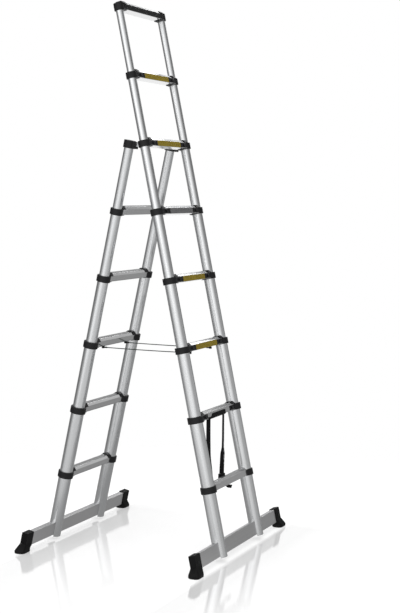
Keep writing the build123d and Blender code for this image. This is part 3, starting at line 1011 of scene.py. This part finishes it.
def tone_row(tree, bearing, tones):
    """Grey tones over a bearing in degrees, from -180 to 180."""
    share = add_node(tree, "MapRange", {"Value": bearing, "From Min": -180.0, "From Max": 180.0})
    row = add_node(tree, "ValToRGB", {"Fac": share.outputs["Result"]})
    stops = row.color_ramp.elements
    places = [(bearing_here + 180) / 360 for bearing_here in bearings]
    for place in places[1:-1]:
        stops.new(place)
    for stop, place, tone in zip(stops, places, tones):
        stop.position = place
        stop.color = grey(tone)
    return row.outputs["Color"]


def soft_step(tree, value, low, high):
    """Goes smoothly from 0 at the first value to 1 at the second."""
    edges = {"Value": value, "From Min": low, "From Max": high}
    return add_node(tree, "MapRange", edges, interpolation_type="SMOOTHSTEP").outputs["Result"]


def overlap(tree, *masks):
    """Mask where all the masks are."""
    shared = masks[0]
    for mask in masks[1:]:
        shared = calculate(tree, "MULTIPLY", shared, mask)
    return shared


def along_direction(tree, direction, axis):
    """How far a direction goes along an axis."""
    return add_node(tree, "VectorMath", {0: direction, 1: axis}, operation="DOT_PRODUCT").outputs["Value"]


print("sky tones at", len(bearings), "bearings")

# %% [markdown]
# The rows of tones lie in bands of height, which is the sine of the elevation. The front tubes lean away
# from the view and mostly mirror what is above the horizon. The rear tubes lean towards it and mirror
# what is below, so each band lights other tubes. Over the rows come a wall on the right, the back of the
# room, a ceiling over it that the treads mirror, and a bright window in that ceiling, which lights the
# shoulders of the rungs. Straight up it is white and far down it is grey. Only sharp mirrors and the view
# itself see plain white, so the picture keeps its white ground and the floor can mirror it.

# %% Sky
room_front = Vector((-math.sin(camera_yaw), -math.cos(camera_yaw), 0))
room_right = level_right
wall_tone = 0.46
back_tone = 0.45
ceiling_tone = 0.60
high_ceiling_tone = 0.34
window_tone = 4.5
ground_tone = 0.7
white_tone = 1.0
slant_share = 0.02

scene = bpy.context.scene
scene.view_settings.view_transform = "Standard"
world = bpy.data.worlds.new("white_sweep")
scene.world = world
world.use_nodes = True
sky = world.node_tree
sky.nodes.clear()
direction = add_node(sky, "TexCoord").outputs["Generated"]
height = along_direction(sky, direction, (0, 0, 1))
rightward = along_direction(sky, direction, room_right)
frontward = along_direction(sky, direction, room_front)
bearing = calculate(sky, "DEGREES", calculate(sky, "ARCTAN2", rightward, frontward))
away = calculate(sky, "ABSOLUTE", bearing)
slant = calculate(sky, "MULTIPLY_ADD", away, slant_share, height)


def where(value, *edges):
    """Mask that rises between the first two edges and, where four are given, falls between the last two."""
    rise = soft_step(sky, value, *edges[:2])
    return overlap(sky, rise, soft_step(sky, value, *edges[:1:-1])) if len(edges) == 4 else rise


above = where(height, 0.015, 0.065)
below = where(height, 0.030, -0.020)
middle = overlap(sky, where(height, 0.04, 0.09, 0.15, 0.22), where(away, 130, 110))
sweep_band = where(height, -0.30, -0.20, -0.12, -0.07)
behind = where(away, 160, 168)
ceiling = overlap(sky, where(height, 0.18, 0.28), where(away, 112, 128))
window = overlap(sky, where(height, 0.33, 0.38), where(away, 155, 158, 170, 175), where(slant, 3.83, 3.78))
right_wall = overlap(sky, where(bearing, 40, 70, 112, 125), where(height, 0.30, 0.12))
rays = add_node(sky, "LightPath").outputs
room = tone_row(sky, bearing, lower_tones)
for share, tone in (
    (sweep_band, tone_row(sky, bearing, sweep_tones)),
    (above, tone_row(sky, bearing, upper_tones)),
    (middle, tone_row(sky, bearing, middle_tones)),
    (overlap(sky, right_wall, above), grey(wall_tone)),
    (overlap(sky, behind, below), grey(white_tone)),
    (overlap(sky, behind, above), grey(back_tone)),
    (ceiling, grey(ceiling_tone)),
    (overlap(sky, ceiling, where(height, 0.37, 0.41)), grey(high_ceiling_tone)),
    (window, grey(window_tone)),
    (where(height, 0.60, 0.85), grey(white_tone)),
    (where(height, -0.55, -0.90), grey(ground_tone)),
    (rays["Is Singular Ray"], grey(white_tone)),
    (rays["Is Camera Ray"], grey(white_tone)),
):
    room = lay_over(sky, share, room, tone)
glow = add_node(sky, "Background", {"Color": room, "Strength": sky_gain})
sky.links.new(glow.outputs[0], add_node(sky, "OutputWorld").inputs["Surface"])
print("sky:", len(sky.nodes), "nodes")

# %% [markdown]
# Two large lamps stand for the soft boxes: one above the open side of the room and one overhead. They cast
# the soft shadows, and the metal doesn't mirror them, because the sky already holds what it mirrors.

# %% Lamps


def soft_light(name, place, target, size, power):
    """A large square area light aimed at a point."""
    lamp = bpy.data.lights.new(name, "AREA")
    lamp.size = size
    lamp.energy = power
    light = bpy.data.objects.new(name, lamp)
    bpy.context.collection.objects.link(light)
    light.location = place
    light.rotation_euler = (Vector(target) - Vector(place)).to_track_quat("-Z", "Y").to_euler()
    light.visible_glossy = False


soft_light("key_light", place=(-3.2, -2.6, 3.4), target=(0, 0, 1.4), size=2.0, power=30)
soft_light("top_light", place=(0.3, -0.3, 4.2), target=(0, 0, 0), size=3.0, power=40)
print("lamps:", [lamp.name for lamp in bpy.data.lights])

# %% [markdown]
# The floor is a matte pale disc with a glow of its own, and it fades into the white. Ahead of each bar it
# is also a faint sharp mirror, which is strongest at the bar, is gone after half a metre or so, and ends
# a little right of the bars. A fine random tilt from point to point softens its image. What the metal
# mirrors of the floor has a greyer tone, because the floor lies in the ladder's own shade there.

# %% Floor
floor_radius = 6.0
floor_drop = 0.5 * MM
floor_glow = 0.60
floor_tones = ((0.50,) * 3, (0.53,) * 3)
floor_fade = (2.2, 0.8)
bar_line = 0.41
mirror_start = 0.04
mirror_even = 0.13
mirror_blur = 0.010
mirror_right = (0.64, 0.44)
rear_mirror = (0.40, 0.75)
front_mirror = (0.46, 0.41)

floor = add_primitive(
    "circle", "pale_floor", vertices=96, radius=floor_radius, fill_type="NGON", location=(0, 0, -floor_drop)
)
floor_finish, tree, shader = new_finish(
    "pale_floor", roughness=0.9, specular_ior_level=0.0, emission_strength=floor_glow
)
place = add_node(tree, "TexCoord").outputs["Object"]
mottle = add_node(tree, "TexNoise", {"Vector": place, "Scale": 3.0}).outputs["Fac"]
tree.links.new(blend_colours(tree, mottle, *floor_tones), shader.inputs["Base Color"])
spot = add_node(tree, "SeparateXYZ", {"Vector": place}).outputs


def mirror_share(bar_place, near, reach):
    """Share of the mirror ahead of a bar: near is its share at the bar, and it is gone at the reach."""
    ahead = calculate(tree, "SUBTRACT", bar_place, spot["Y"])
    span = {"Value": ahead, "From Min": mirror_even, "From Max": reach, "To Min": near, "To Max": 0.0}
    fall = add_node(tree, "MapRange", span).outputs["Result"]
    return overlap(tree, soft_step(tree, ahead, 0.0, mirror_start), fall)


sheen = calculate(
    tree, "ADD", mirror_share(bar_line, *rear_mirror), mirror_share(-bar_line, *front_mirror)
)
sheen = overlap(tree, sheen, soft_step(tree, spot["X"], *mirror_right))
speck = add_node(tree, "TexWhiteNoise", {"Vector": place}).outputs["Color"]
tilt = add_node(
    tree,
    "MapRange",
    {"Vector": speck, 9: (-mirror_blur,) * 3, 10: (mirror_blur,) * 3},
    data_type="FLOAT_VECTOR",
).outputs["Vector"]
tilted = add_node(tree, "VectorMath", {0: tilt, 1: (0, 0, 1)}, operation="ADD").outputs[0]
tilted = add_node(tree, "VectorMath", {0: tilted}, operation="NORMALIZE").outputs[0]
mirror = add_node(tree, "BsdfGlossy", {"Roughness": 0.0, "Normal": tilted}).outputs[0]


def mix_shaders(share, first, second):
    """Mixes two shaders of the floor by a mask."""
    return add_node(tree, "MixShader", {0: share, 1: first, 2: second}).outputs[0]


from_middle = add_node(tree, "VectorMath", {0: place}, operation="LENGTH").outputs["Value"]
clear = add_node(tree, "BsdfTransparent").outputs[0]
seen = mix_shaders(sheen, shader.outputs[0], mirror)
seen = mix_shaders(soft_step(tree, from_middle, *floor_fade), clear, seen)
print("floor: radius", floor_radius, "m, dropped by", floor_drop, "m")

# %% The floor in the metal
lit_side = (0.0, 0.8)
shaded_floor = (0.30,) * 3
lit_floor = (0.64,) * 3
metal_fade = (4.2, 2.4)

lit = soft_step(tree, along_direction(tree, place, room_front), *lit_side)
tone = blend_colours(tree, lit, shaded_floor, lit_floor)
mirrored = add_node(tree, "Emission", {"Color": tone}).outputs[0]
mirrored = mix_shaders(soft_step(tree, from_middle, *metal_fade), clear, mirrored)
glossy = add_node(tree, "LightPath").outputs["Is Glossy Ray"]
both = mix_shaders(glossy, seen, mirrored)
tree.links.new(both, tree.nodes["Material Output"].inputs["Surface"])
floor.data.materials.append(floor_finish)
print("floor finish:", len(tree.nodes), "nodes")
